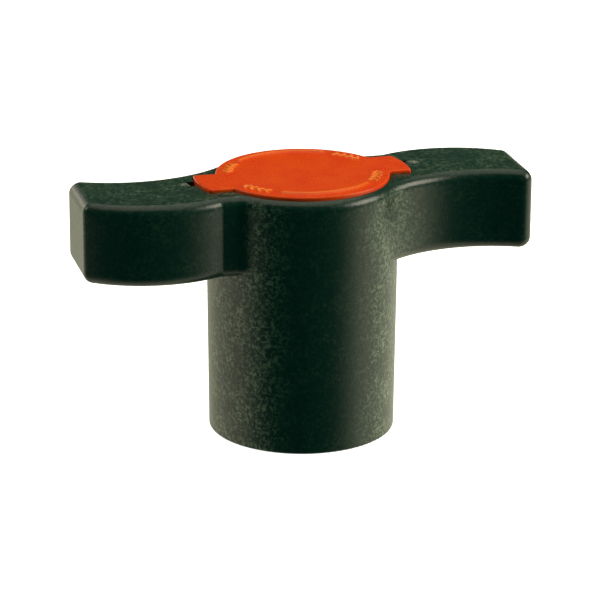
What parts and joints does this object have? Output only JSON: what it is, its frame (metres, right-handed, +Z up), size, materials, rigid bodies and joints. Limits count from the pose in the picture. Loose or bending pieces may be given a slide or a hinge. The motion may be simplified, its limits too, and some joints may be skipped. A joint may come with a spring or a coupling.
{
  "type": "valve wing handle",
  "caption": "Two-arm S-shaped wing handle of a small plastic ball valve, with a tall hollow hub and a lift-out key insert in its top.",
  "frame": {"origin": "centre of the hub's bottom rim", "axes": "+Z up the valve stem, out of the insert's face; +X along the right arm"},
  "size_m": [0.08, 0.0332, 0.0463],
  "materials": {
    "body_plastic": "moulded glass-filled polypropylene, satin, with fibre bloom",
    "insert_plastic": "moulded orange polypropylene, satin",
    "steel": "stainless steel, as turned"
  },
  "bodies": {
    "handle": {"handle_body": "body_plastic", "stem_screw": "steel", "stem_washer": "steel"},
    "key": {"key_insert": "insert_plastic"}
  },
  "joints": [
    {"name": "key_lift", "type": "slide", "parent": "handle", "child": "key", "axis": [0, 0, 1], "range_m": [0, 0.025]}
  ]
}
